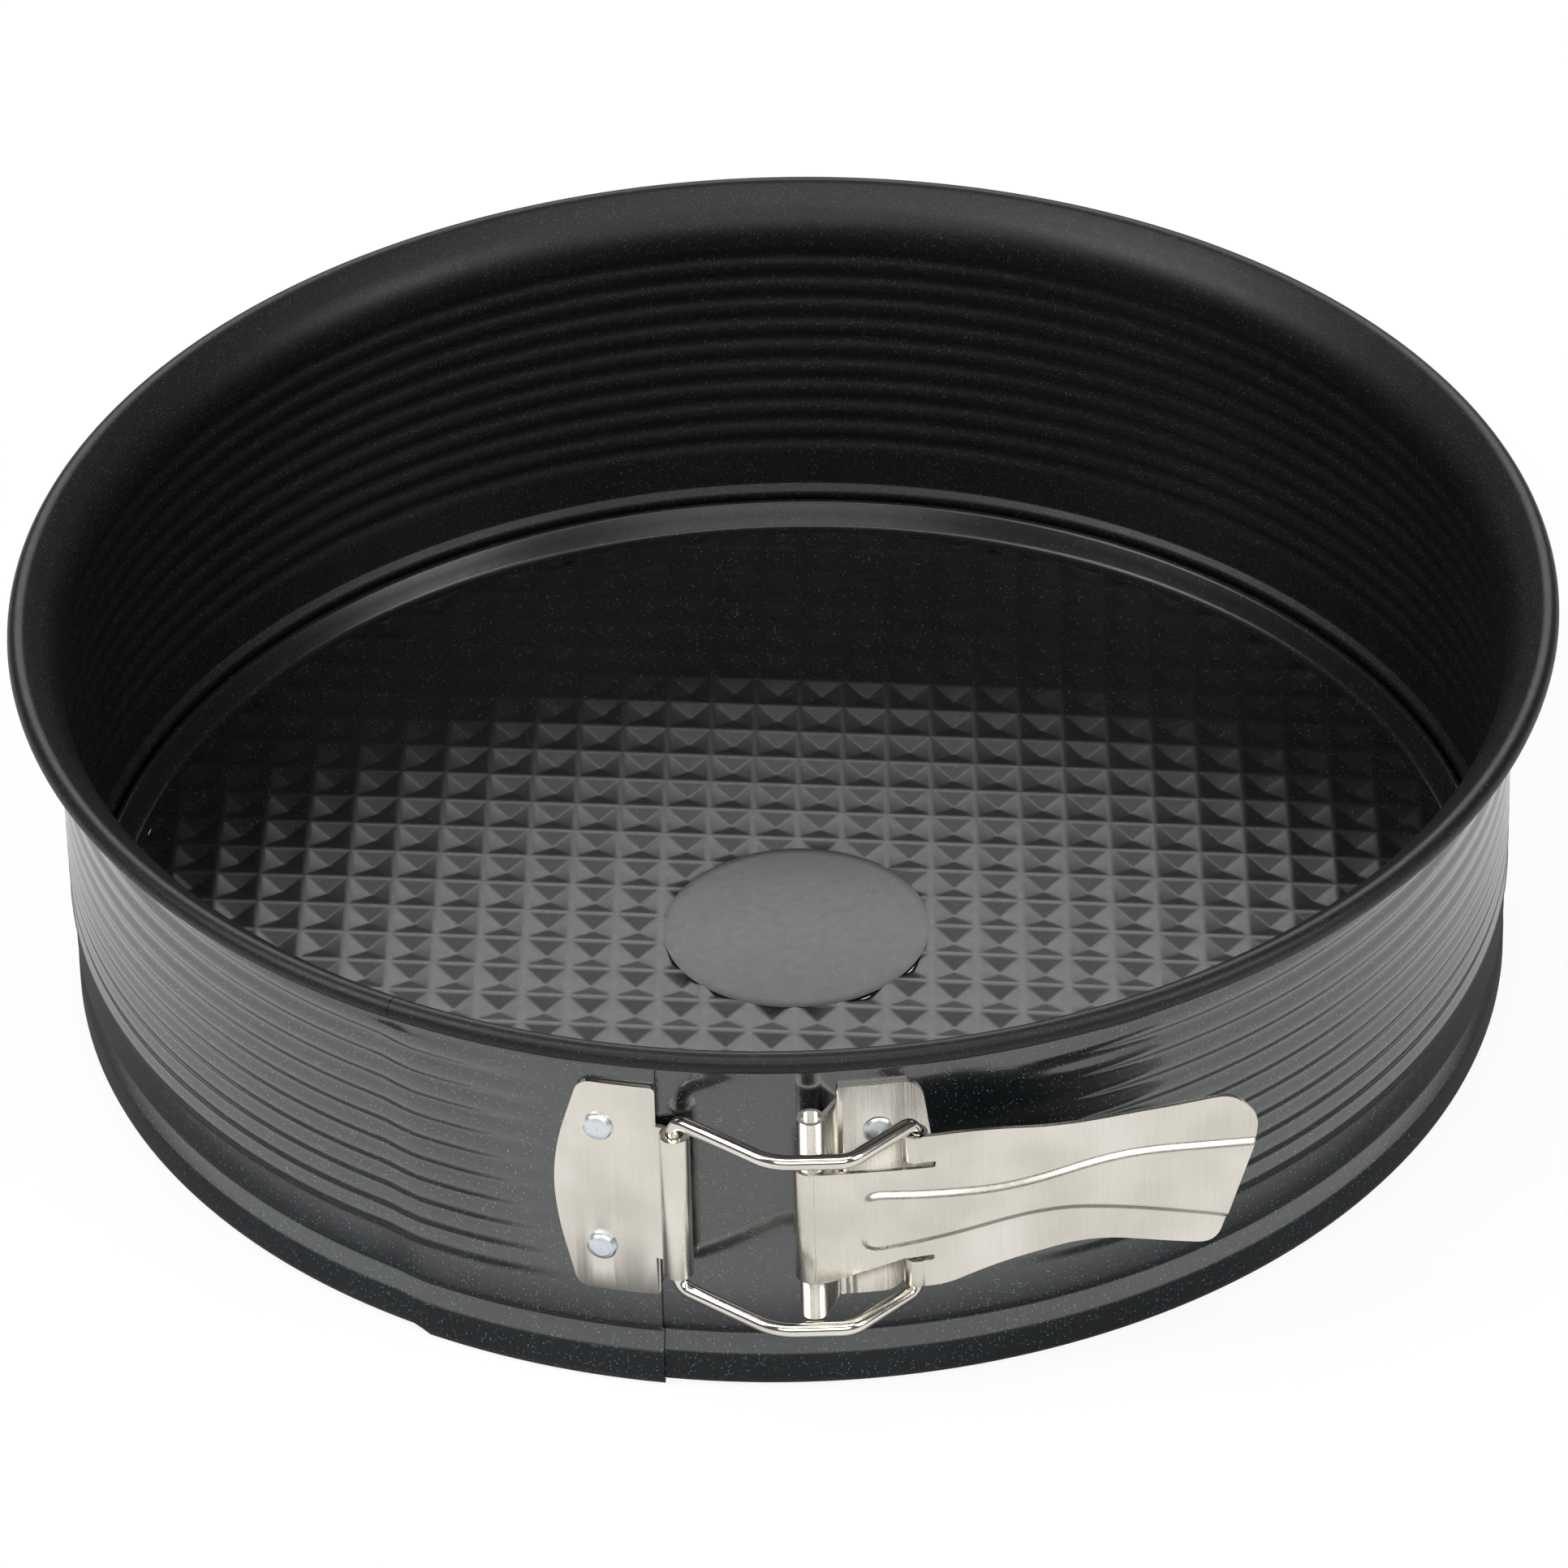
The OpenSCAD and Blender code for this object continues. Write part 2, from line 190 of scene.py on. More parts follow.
def depth_inside(x: float, y: float, outline: Sequence[Vector]) -> float:
    """How far a point lies inside an outline.

    Args:
        x: the point's first coordinate.
        y: its second one.
        outline: the outline's points in order.

    Returns:
        The distance to the nearest edge, negative outside.
    """
    nearest, inside = math.inf, False
    for i, b in enumerate(outline):
        a = outline[i - 1]
        dx, dy = b.x - a.x, b.y - a.y
        t = min(max(((x - a.x) * dx + (y - a.y) * dy) / (dx * dx + dy * dy), 0), 1)
        nearest = min(nearest, math.hypot(a.x + t * dx - x, a.y + t * dy - y))
        if (a.y > y) != (b.y > y) and x < a.x + (y - a.y) * dx / dy:
            inside = not inside
    return nearest if inside else -nearest


# ---------------------------------------------------------------- modelling by operators


def deselect() -> None:
    """Leaves object mode with nothing selected."""
    if bpy.context.object and bpy.context.object.mode != "OBJECT":
        bpy.ops.object.mode_set(mode="OBJECT")
    bpy.ops.object.select_all(action="DESELECT")


def activate(piece: bpy.types.Object) -> None:
    """Makes a piece the only selected and the active one."""
    deselect()
    piece.select_set(True)
    bpy.context.view_layer.objects.active = piece


def edit(piece: bpy.types.Object, domain: str = "VERT") -> None:
    """Opens a piece in edit mode with everything selected.

    Args:
        piece: the piece.
        domain: what is selected: VERT, EDGE or FACE.
    """
    activate(piece)
    bpy.ops.object.mode_set(mode="EDIT")
    bpy.ops.mesh.select_mode(type=domain)
    bpy.ops.mesh.select_all(action="SELECT")


def leave() -> None:
    """Goes back to object mode."""
    bpy.ops.object.mode_set(mode="OBJECT")


def finish_modifiers(piece: bpy.types.Object) -> None:
    """Applies every modifier of a piece, in order.

    Args:
        piece: the piece.
    """
    activate(piece)
    for modifier in list(piece.modifiers):
        bpy.ops.object.modifier_apply(modifier=modifier.name)


def polyline(name: str, points: Sequence[Vector], closed: bool = False) -> bpy.types.Object:
    """A chain of edges drawn by extruding one vertex from point to point.

    Args:
        name: the piece's name.
        points: its points in metres.
        closed: whether the last point joins the first, with a face between.

    Returns:
        The new piece, left in object mode.
    """
    deselect()
    bpy.ops.mesh.primitive_plane_add(size=2 * MM, location=(0, 0, 0))
    piece = bpy.context.object
    piece.name = name
    edit(piece)
    bpy.ops.mesh.merge(type="CENTER")
    bpy.ops.transform.translate(value=points[0])
    for a, b in zip(points, points[1:]):
        bpy.ops.mesh.extrude_region_move(TRANSFORM_OT_translate={"value": b - a})
    if closed:
        bpy.ops.mesh.select_all(action="SELECT")
        bpy.ops.mesh.edge_face_add()
    leave()
    return piece


def spin(piece: bpy.types.Object, angle: float, steps: int) -> None:
    """Spins a piece's edges about the pan's axis.

    Args:
        piece: a chain of edges.
        angle: how far, in degrees, from the front towards +X.
        steps: how many lengths the turn has.
    """
    edit(piece)
    bpy.ops.mesh.spin(
        steps=steps, angle=math.radians(angle), center=(0, 0, 0), axis=(0, 0, -1)
    )
    bpy.ops.mesh.select_all(action="SELECT")
    bpy.ops.mesh.remove_doubles(threshold=0.002 * MM)
    leave()


def face_out(piece: bpy.types.Object) -> None:
    """Points all faces of a closed piece outwards.

    Args:
        piece: the piece.
    """
    edit(piece, "FACE")
    bpy.ops.mesh.normals_make_consistent(inside=False)
    leave()


def thicken(piece: bpy.types.Object, thickness: float, offset: float = 0.0) -> None:
    """Gives a sheet its thickness.

    Args:
        piece: the sheet.
        thickness: in millimetres.
        offset: 0 to grow both ways, -1 to grow inwards only.
    """
    modifier = piece.modifiers.new("thickness", "SOLIDIFY")
    modifier.thickness = thickness * MM
    modifier.offset = offset
    modifier.use_even_offset = True
    finish_modifiers(piece)


def push_out(
    piece: bpy.types.Object, weight: Callable[[Vector], float], distance: float
) -> None:
    """Moves a sheet along its normals where a weight says so.

    Args:
        piece: the sheet.
        weight: gives 0 to 1 for a point in millimetres.
        distance: the move at weight 1, in millimetres.
    """
    group = piece.vertex_groups.new(name="push")
    for vertex in piece.data.vertices:
        w = weight(vertex.co / MM)
        if w > 0:
            group.add([vertex.index], w, "REPLACE")
    modifier = piece.modifiers.new("push", "DISPLACE")
    modifier.vertex_group = "push"
    modifier.mid_level = 0
    modifier.strength = distance * MM
    finish_modifiers(piece)
    piece.vertex_groups.clear()


def delete_faces(piece: bpy.types.Object, gone: Callable[[Vector], bool]) -> None:
    """Deletes some faces.

    Args:
        piece: the piece.
        gone: says whether a face goes, from its centre in millimetres.
    """
    edit(piece, "FACE")
    bpy.ops.mesh.select_all(action="DESELECT")
    leave()
    for face in piece.data.polygons:
        face.select = gone(face.center / MM)
    bpy.ops.object.mode_set(mode="EDIT")
    bpy.ops.mesh.delete(type="FACE")
    leave()


def soften(piece: bpy.types.Object, width: float, segments: int = 2, angle: float = 35) -> None:
    """Rounds a piece's sharp edges.

    Args:
        piece: the piece.
        width: the rounding's width in millimetres.
        segments: faces across the rounding.
        angle: edges sharper than this are rounded, in degrees.
    """
    modifier = piece.modifiers.new("edges", "BEVEL")
    modifier.width = width * MM
    modifier.segments = segments
    modifier.limit_method = "ANGLE"
    modifier.angle_limit = math.radians(angle)
    finish_modifiers(piece)


def smooth(piece: bpy.types.Object, angle: float = 35) -> None:
    """Shades a piece smooth, except over edges sharper than the angle."""
    activate(piece)
    bpy.ops.object.shade_smooth_by_angle(angle=math.radians(angle))


def join(pieces: Sequence[bpy.types.Object]) -> bpy.types.Object:
    """Joins pieces.

    Args:
        pieces: the pieces, of which the first one stays.

    Returns:
        The joined piece.
    """
    deselect()
    for piece in pieces:
        piece.select_set(True)
    bpy.context.view_layer.objects.active = pieces[0]
    bpy.ops.object.join()
    return pieces[0]


# ---------------------------------------------------------------- finishes


class Shader:
    """A material's node tree, with one way to add a node."""

    def __init__(self, name: str) -> None:
        """Starts a material with its principled shader."""
        self.material = bpy.data.materials.new(name)
        self.material.use_nodes = True
        self.tree = self.material.node_tree
        self.surface = self.tree.nodes["Principled BSDF"]

    def add(
        self, kind: str, inputs: dict | None = None, **settings: object
    ) -> bpy.types.Node:
        """Adds a node, with its settings and its inputs' values or links.

        Args:
            kind: the node's type.
            inputs: values or output sockets, by input name or index.
            settings: the node's own attributes.

        Returns:
            The new node.
        """
        node = self.tree.nodes.new(kind)
        for key, value in settings.items():
            setattr(node, key, value)
        self.feed(node, inputs or {})
        return node

    def feed(self, node: bpy.types.Node, inputs: dict) -> None:
        """Sets a node's inputs.

        Args:
            node: the node.
            inputs: values or output sockets, by input name or index.
        """
        for key, value in inputs.items():
            if isinstance(value, bpy.types.NodeSocket):
                self.tree.links.new(value, node.inputs[key])
            else:
                node.inputs[key].default_value = value

    def ramp(self, factor: bpy.types.NodeSocket, stops: Sequence[tuple]) -> bpy.types.Node:
        """Adds a colour ramp.

        Args:
            factor: the socket that drives it.
            stops: each stop as place and colour.

        Returns:
            The ramp's node.
        """
        node = self.add("ShaderNodeValToRGB", {"Fac": factor})
        elements = node.color_ramp.elements
        while len(elements) < len(stops):
            elements.new(0.5)
        for element, (place, colour) in zip(elements, stops):
            element.position, element.color = place, colour
        return node


@dataclass(frozen=True)
class NonStickCoating:
    """Sprayed and baked non-stick coating on steel: charcoal with fine bright flakes."""

    name: str
    dark: str = "17181a"
    light: str = "1f2124"
    roughness: float = 0.36
    specular: float = 0.3
    coat: float = 0.0
    coat_roughness: float = 0.07
    flake_mm: float = 0.45
    flake_light: str = "5d646b"
    flake_share: float = 0.12
    peel_mm: float = 2.2
    peel_bump: float = 0.10
    mottle_mm: float = 30.0

    def make(self) -> bpy.types.Material:
        """Builds the material.

        Returns:
            The finished material.
        """
        shader = Shader(self.name)
        place = shader.add("ShaderNodeTexCoord").outputs["Object"]
        # slow mottling, as the sprayed film varies over a few centimetres
        mottle = shader.add(
            "ShaderNodeTexNoise",
            {"Vector": place, "Scale": 1 / (self.mottle_mm * MM), "Detail": 3.0},
        )
        body = shader.ramp(
            mottle.outputs["Fac"], [(0.3, linear(self.dark)), (0.7, linear(self.light))]
        )
        # bright mineral flakes: real ones are 0.1 mm, drawn at the size that shows
        flakes = shader.add(
            "ShaderNodeTexVoronoi", {"Vector": place, "Scale": 1 / (self.flake_mm * MM)}
        )
        spread = shader.add("ShaderNodeSeparateColor", {"Color": flakes.outputs["Color"]})
        chosen = shader.add(
            "ShaderNodeMath",
            {0: spread.outputs["Red"], 1: 1 - self.flake_share},
            operation="GREATER_THAN",
        )
        centre = shader.add(
            "ShaderNodeMath", {0: flakes.outputs["Distance"], 1: 0.34}, operation="LESS_THAN"
        )
        flake = shader.add(
            "ShaderNodeMath",
            {0: chosen.outputs[0], 1: centre.outputs[0]},
            operation="MULTIPLY",
        )
        strength = shader.add(
            "ShaderNodeMath",
            {0: flake.outputs[0], 1: spread.outputs["Green"]},
            operation="MULTIPLY",
        )
        colour = shader.add(
            "ShaderNodeMix",
            {0: strength.outputs[0], 6: body.outputs["Color"], 7: linear(self.flake_light)},
            data_type="RGBA",
        )
        # orange peel of the sprayed film
        peel = shader.add(
            "ShaderNodeTexNoise",
            {"Vector": place, "Scale": 1 / (self.peel_mm * MM), "Detail": 4.0},
        )
        rough = shader.add(
            "ShaderNodeMapRange",
            {
                "Value": peel.outputs["Fac"],
                "To Min": self.roughness - 0.05,
                "To Max": self.roughness + 0.06,
            },
        )
        bump = shader.add(
            "ShaderNodeBump",
            {"Strength": self.peel_bump, "Distance": 0.05 * MM, "Height": peel.outputs["Fac"]},
        )
        shader.feed(
            shader.surface,
            {
                "Base Color": colour.outputs[2],
                "Metallic": 0.0,
                "Roughness": rough.outputs["Result"],
                "Normal": bump.outputs["Normal"],
                "Specular IOR Level": self.specular,
                "Coat Weight": self.coat,
                "Coat Roughness": self.coat_roughness,
                "IOR": 1.5,
            },
        )
        return shader.material


@dataclass(frozen=True)
class PlatedSteel:
    """Bright nickel plating over pressed sheet or drawn wire, with a fine grain."""

    name: str
    light: str = "e9e5dc"
    dark: str = "d3cec3"
    roughness: float = 0.27
    grain_mm: tuple[float, float, float] = (0.25, 0.25, 9.0)
    grain_bump: float = 0.0

    def make(self) -> bpy.types.Material:
        """Builds the material.

        Returns:
            The finished material.
        """
        shader = Shader(self.name)
        place = shader.add("ShaderNodeTexCoord").outputs["Object"]
        stretch = shader.add(
            "ShaderNodeMapping",
            {"Vector": place, "Scale": tuple(1 / (g * MM) for g in self.grain_mm)},
        )
        # rolling grain along the sheet
        grain = shader.add(
            "ShaderNodeTexNoise",
            {"Vector": stretch.outputs["Vector"], "Scale": 1.0, "Detail": 3.0},
        )
        # faint clouding of the plating
        cloud = shader.add(
            "ShaderNodeTexNoise", {"Vector": place, "Scale": 1 / (14 * MM), "Detail": 2.0}
        )
        both = shader.add(
            "ShaderNodeMath",
            {0: grain.outputs["Fac"], 1: 0.3, 2: cloud.outputs["Fac"]},
            operation="MULTIPLY_ADD",
        )
        colour = shader.ramp(
            both.outputs[0], [(0.45, linear(self.dark)), (0.85, linear(self.light))]
        )
        rough = shader.add(
            "ShaderNodeMapRange",
            {
                "Value": grain.outputs["Fac"],
                "To Min": self.roughness - 0.04,
                "To Max": self.roughness + 0.04,
            },
        )
        bump = shader.add(
            "ShaderNodeBump",
            {
                "Strength": self.grain_bump,
                "Distance": 0.03 * MM,
                "Height": grain.outputs["Fac"],
            },
        )
        shader.feed(
            shader.surface,
            {
                "Base Color": colour.outputs["Color"],
                "Metallic": 1.0,
                "Roughness": rough.outputs["Result"],
                "Normal": bump.outputs["Normal"],
            },
        )
        return shader.material


@dataclass
class Finishes:
    """All finishes of the pan."""

    outer: bpy.types.Material = field(init=False)
    inner: bpy.types.Material = field(init=False)
    base: bpy.types.Material = field(init=False)
    sheet: bpy.types.Material = field(init=False)
    wire: bpy.types.Material = field(init=False)
    rivet: bpy.types.Material = field(init=False)

    def __post_init__(self) -> None:
        """Makes each finish once."""
        # glossy outside film: mirrors the room softly, with fine flakes under a clear layer
        self.outer = NonStickCoating(
            "nonstick_coating_gloss", roughness=0.20, specular=1.0, coat=0.9, dark="101416",
            light="181d20", flake_light="6c767d", flake_share=0.22, flake_mm=0.34,
        ).make()
        # inside film: semi-matte release layer, darker and blurred in its highlights
        self.inner = NonStickCoating(
            "nonstick_coating_satin", roughness=0.44, flake_share=0.35, flake_light="3c3d3e",
            flake_mm=0.34, dark="090909", light="0d0d0d", specular=0.34,
        ).make()
        # the same release layer on the embossed base, a little shinier on its flats
        self.base = NonStickCoating(
            "nonstick_coating_base", roughness=0.30, flake_share=0.2, flake_light="3a3b3d",
            dark="0e0e0f", light="131314", peel_mm=1.6, specular=0.42,
        ).make()
        # bright nickel: warm white satin on pressed sheet, mirror-like on drawn wire
        self.sheet = PlatedSteel("nickel_plated_sheet").make()
        self.wire = PlatedSteel(
            "nickel_plated_wire", roughness=0.13, grain_mm=(0.4, 0.4, 0.4), grain_bump=0.0
        ).make()
        # set aluminium heads: cooler and duller than the nickel round them
        self.rivet = PlatedSteel(
            "aluminium_rivet", light="e9eef2", dark="c9d0d6", roughness=0.34,
            grain_mm=(0.6, 0.6, 0.6),
        ).make()


def dress(piece: bpy.types.Object, body: Body, material: bpy.types.Material) -> None:
    """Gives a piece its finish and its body.

    Args:
        piece: the piece.
        body: the body that it rides on.
        material: its finish.
    """
    piece.data.materials.clear()
    piece.data.materials.append(material)
    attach(piece, body.value)
    LOG.info("%s: %d faces", piece.name, len(piece.data.polygons))


# ---------------------------------------------------------------- side ring


@dataclass
class SideRing:
    """The split band of coated sheet, from its foot curl to its rolled rim."""

    finishes: Finishes
    sheet: float = 0.6
    wall_r: float = 114.6
    foot_r: float = 2.3
    foot_turn: float = 280.0
    skirt: float = 4.0
    groove: float = 1.1
    groove_in: tuple[float, float] = (20.0, 2.0)
    groove_out: tuple[float, float] = (-45.0, 0.8)
    height: float = 69.0
    ribs_from: float = 18.5
    ribs: int = 10
    rib_depth: float = 0.5
    flare_r: float = 8.0
    flare_lean: float = 50.0
    flare_run: float = 3.2
    roll_r: float = 1.4
    roll_turn: float = 240.0
    tongue_end: float = -29.74
    lap_end: float = -10.5
    lap_start: float = -29.8
    lap_gap: float = 0.25
    lap_over: float = 3.0
    back_from: float = 150.0
    back_to: float = 186.0
    step: float = 1.5
    rib_steps: int = 8
    fade_right: tuple[float, float] = (16.0, 25.0)
    fade_left: tuple[float, float] = (-27.0, -17.0)
    lap_low: float = 1.0
    lap_bend_from: float = -33.5

    def __post_init__(self) -> None:
        """Works out the profile."""
        # the foot curls inwards and ends upright, where the skirt begins
        heading = 90 - self.foot_turn + 360
        self.foot_z = (self.foot_r + self.sheet / 2) * math.cos(math.radians(10))
        a = math.radians(heading - 90)
        start = (
            self.wall_r - self.foot_r + self.foot_r * math.cos(a),
            self.foot_z + self.foot_r * math.sin(a),
        )
        path = Path(start, heading).arc(self.foot_r, self.foot_turn, 14).run(self.skirt, 2)
        for lean, radius in (self.groove_in, self.groove_out):
            path.jog(self.groove, lean, radius)
        foot = path.points
        flare = Path((self.wall_r, 0), 90).arc(self.flare_r, -self.flare_lean, 6)
        flare.run(self.flare_run, 2).arc(self.roll_r, -self.roll_turn, 12)
        rise = max(z for _, z in flare.points) + self.sheet / 2
        self.wall_top = self.height - rise
        self.ribs_to = self.wall_top - 0.4
        wall_steps = self.ribs * self.rib_steps
        span = self.wall_top - foot[-1][1]
        count = math.ceil(span / ((self.ribs_to - self.ribs_from) / wall_steps))
        wall = [(self.wall_r, foot[-1][1] + span * i / count) for i in range(1, count)]
        top = [(r, z + self.wall_top) for r, z in flare.points]
        self.profile = foot + wall + top
        self.lap_index = next(
            i for i, (r, z) in enumerate(foot)
            if i > 8 and r > self.wall_r - self.foot_r and z > self.lap_low
        )

    def rib_weight(self, point: Vector) -> float:
        """How far a corrugation stands out: it fades out beside the latch.

        Args:
            point: a point of the wall, in millimetres.

        Returns:
            0 to 1.
        """
        z, angle = point.z, front_angle(point.x, point.y)
        if not self.ribs_from < z < self.ribs_to:
            return 0.0
        if math.hypot(point.x, point.y) > self.wall_r + 1:
            return 0.0
        turns = (z - self.ribs_from) / (self.ribs_to - self.ribs_from) * self.ribs
        fade = (
            smoothstep(*self.fade_right, angle) if angle > 0
            else 1 - smoothstep(*self.fade_left, angle)
        )
        return (1 - math.cos(2 * math.pi * turns)) / 2 * fade

    def band(
        self, name: str, low: float, high: float, profile: Sequence[tuple[float, float]]
    ) -> bpy.types.Object:
        """One length of the band as a bare sheet.

        Args:
            name: the piece's name.
            low: angle of its start.
            high: angle of its end.
            profile: its section as (radius, height).

        Returns:
            The spun sheet with its corrugations, without thickness.
        """
        piece = polyline(name, [around(r, low, z) for r, z in profile])
        spin(piece, high - low, max(2, round((high - low) / self.step)))
        self.turn_out(piece)
        return piece

    def turn_out(self, piece: bpy.types.Object) -> None:
        """Points the wall's normals away from the pan's axis.

        Args:
            piece: the bare sheet.
        """
        wall = [
            f for f in piece.data.polygons
            if self.ribs_from < f.center.z / MM < self.wall_top - 2
        ]
        inward = sum(1 for f in wall if f.normal.x * f.center.x + f.normal.y * f.center.y < 0)
        if inward * 2 > len(wall):
            edit(piece, "FACE")
            bpy.ops.mesh.flip_normals()
            leave()

    def close(self, piece: bpy.types.Object) -> None:
        """Gives the sheet its thickness and smooth shading, with the inside darker.

        Args:
            piece: the bare sheet.
        """
        modifier = piece.modifiers.new("thickness", "SOLIDIFY")
        modifier.thickness = self.sheet * MM
        modifier.offset = 0.0
        modifier.material_offset = 1
        modifier.material_offset_rim = 0
        piece.data.materials.clear()
        piece.data.materials.append(self.finishes.outer)
        piece.data.materials.append(self.finishes.inner)
        finish_modifiers(piece)
        smooth(piece, 40)

    def right(self) -> bpy.types.Object:
        """The right length, from the hidden tongue's end to the back."""
        piece = self.band("side_ring_right", self.tongue_end, self.back_from, self.profile)
        push_out(piece, self.rib_weight, self.rib_depth)
        self.close(piece)
        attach(piece, Body.RIGHT.value)
        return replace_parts(piece, "ring_right_band")

    def left(self) -> bpy.types.Object:
        """The left length, from the back to its lap over the tongue at the front."""
        piece = self.band(
            "side_ring_left", self.back_to - 360, self.lap_start, self.profile
        )
        top = next(
            i for i, (_, z) in enumerate(self.profile)
            if i > 40 and z > self.wall_top + self.lap_over
        )
        lap = self.band(
            "side_ring_lap", self.lap_start, self.lap_end, self.profile[self.lap_index : top]
        )
        piece = join([piece, lap])
        edit(piece)
        bpy.ops.mesh.remove_doubles(threshold=0.002 * MM)
        leave()
        push_out(piece, self.rib_weight, self.rib_depth)
        push_out(piece, self.lap_weight, self.sheet + self.lap_gap)
        self.close(piece)
        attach(piece, Body.LEFT.value)
        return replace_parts(piece, "ring_left_band")

    def lap_weight(self, point: Vector) -> float:
        """How far the outer layer has stepped out over the tongue.

        Args:
            point: a point of the band, in millimetres.

        Returns:
            0 to 1.
        """
        r = math.hypot(point.x, point.y)
        over = self.wall_top + self.lap_over + 0.3
        if point.z > over or r < self.wall_r - 1.5:
            return 0.0
        angle = front_angle(point.x, point.y)
        if angle > self.lap_start - 0.01:
            fade = 1 - 0.7 * smoothstep(self.wall_top, over, point.z)
            return fade if point.z > self.lap_low - 0.05 else 0.0
        above = smoothstep(self.lap_low, self.foot_z, point.z)
        below = 1 - smoothstep(self.wall_top - 3, self.wall_top, point.z)
        return smoothstep(self.lap_bend_from, self.lap_start, angle) * above * below

    def back(self) -> bpy.types.Object:
        """The length at the back, built in place on neither body; on the real pan it bends when
        the ring springs open.
        """
        piece = self.band("side_ring_back", self.back_from, self.back_to, self.profile)
        push_out(piece, self.rib_weight, self.rib_depth)
        self.close(piece)
        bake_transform(piece)
        return piece

    def build(self) -> None:
        """Builds all lengths of the ring."""
        for piece in (self.right(), self.left(), self.back()):
            LOG.info("%s: %d faces", piece.name, len(piece.data.polygons))


# ---------------------------------------------------------------- base plate


